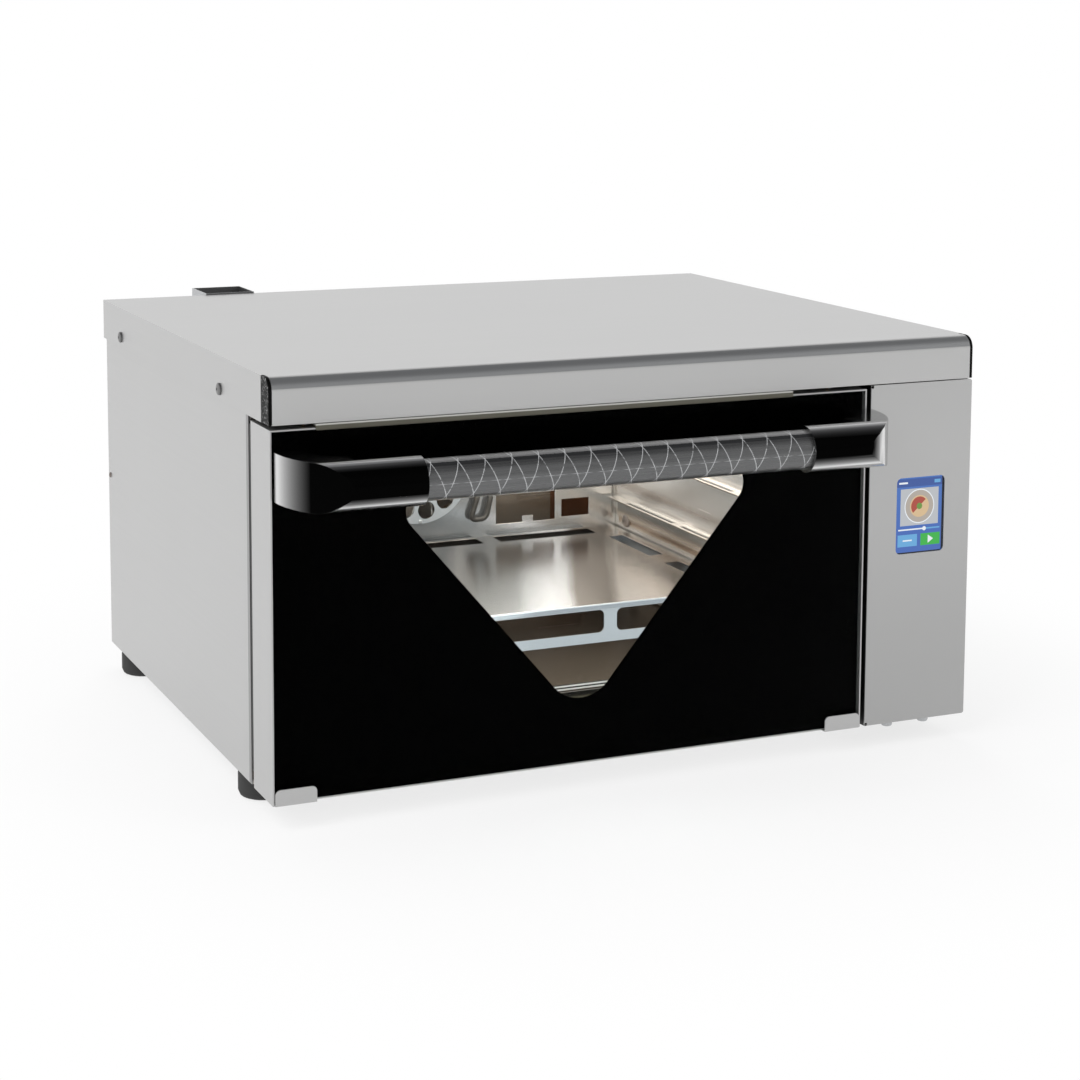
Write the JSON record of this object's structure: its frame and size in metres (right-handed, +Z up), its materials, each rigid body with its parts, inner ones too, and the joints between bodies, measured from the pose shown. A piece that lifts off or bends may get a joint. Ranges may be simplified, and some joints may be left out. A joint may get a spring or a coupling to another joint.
{
  "type": "speed oven",
  "caption": "Countertop speed oven: drop-down glass door with a bar handle, touch-screen panel, fan-blown cavity over a cooking deck, and a rear exhaust duct.",
  "frame": {"origin": "on the surface the oven stands on, under the middle of its bounding box", "axes": "+X to the right as the user faces the door, +Y to the back, +Z up; the door and the control panel face -Y"},
  "size_m": [0.7326, 0.7462, 0.4096],
  "materials": {
    "case_steel": "fine brushed stainless",
    "cavity_steel": "bright rolled stainless",
    "plated_steel": "plain plated",
    "heater_sheath": "heat-dulled",
    "motor_alloy": "die cast",
    "cap_plastic": "satin moulded black",
    "fan_plastic": "moulded black",
    "bezel_plastic": "gloss black",
    "screen_face": "lit display under glass",
    "sleeve_foil": "silver sleeve with a pale triangle grid",
    "silicone_seal": "matte silicone",
    "insulation_wool": "mineral wool board",
    "lamp_ceramic": "glazed",
    "clear_glass": "clear",
    "black_mask": "black enamel behind the glass",
    "board_laminate": "board with moulded components",
    "foot_rubber": "moulded",
    "catch_brass": "polished"
  },
  "bodies": {
    "case": {"top_cover": "case_steel", "side_panel_left": "case_steel", "side_panel_right": "case_steel", "back_panel": "plated_steel", "base_pan": "plated_steel", "nose_cap_left": "cap_plastic", "nose_cap_right": "cap_plastic", "control_panel": "case_steel", "display_frame": "bezel_plastic", "display_glass": "screen_face", "control_partition": "plated_steel", "front_frame": "cavity_steel", "door_gasket": "silicone_seal", "cavity_liner": "cavity_steel", "insulation_jacket": "insulation_wool", "air_baffle": "cavity_steel", "rack_rail_left": "cavity_steel", "rack_rail_right": "cavity_steel", "cooking_deck": "cavity_steel", "deck_stand": "cavity_steel", "ring_heater": "heater_sheath", "fan_motor": "motor_alloy", "motor_bridge": "plated_steel", "temperature_probe": "cavity_steel", "lamp_holder": "lamp_ceramic", "lamp_glass": "clear_glass", "exhaust_duct": "case_steel", "vent_tube": "plated_steel", "cooling_fan_frame": "fan_plastic", "cord_gland": "fan_plastic", "control_board": "board_laminate", "power_module": "motor_alloy", "foot_front_left": "foot_rubber", "foot_front_right": "foot_rubber", "foot_rear_left": "foot_rubber", "foot_rear_right": "foot_rubber", "hinge_bracket_left": "plated_steel", "hinge_bracket_right": "plated_steel", "hinge_pin_left": "plated_steel", "hinge_pin_right": "plated_steel", "catch_body_left": "plated_steel", "catch_body_right": "plated_steel"},
    "door": {"door_shell": "case_steel", "door_glass": "clear_glass", "door_mask": "black_mask", "door_inner_panel": "cavity_steel", "door_inner_glass": "clear_glass", "door_top_strip": "silicone_seal", "glass_clip_left": "case_steel", "glass_clip_right": "case_steel", "handle_bracket_left": "cap_plastic", "handle_bracket_right": "cap_plastic", "handle_bar": "plated_steel", "handle_sleeve": "sleeve_foil"},
    "convection_fan": {"convection_fan_wheel": "cavity_steel", "fan_shaft": "plated_steel"},
    "cooling_fan": {"cooling_fan_rotor": "fan_plastic"},
    "catch_left": {"catch_ball_left": "catch_brass"},
    "catch_right": {"catch_ball_right": "catch_brass"}
  },
  "joints": [
    {"name": "door_hinge", "type": "hinge", "parent": "case", "child": "door", "pos_m": [-0.06025, -0.23215, 0.033], "axis": [1, 0, 0], "range_deg": [0, 90], "stiffness_Nm_per_rad": 5, "springref_deg": -51.57},
    {"name": "convection_fan_spin", "type": "hinge", "parent": "case", "child": "convection_fan", "pos_m": [-0.06025, 0.17, 0.228], "axis": [0, 1, 0], "continuous": true},
    {"name": "cooling_fan_spin", "type": "hinge", "parent": "case", "child": "cooling_fan", "pos_m": [0.3043, 0.295, 0.204], "axis": [0, 1, 0], "continuous": true},
    {"name": "catch_left_press", "type": "slide", "parent": "case", "child": "catch_left", "axis": [0, 0, 1], "range_m": [0, 0.002], "stiffness_N_per_m": 1500, "springref_m": -0.001},
    {"name": "catch_right_press", "type": "slide", "parent": "case", "child": "catch_right", "axis": [0, 0, 1], "range_m": [0, 0.002], "stiffness_N_per_m": 1500, "springref_m": -0.001}
  ]
}
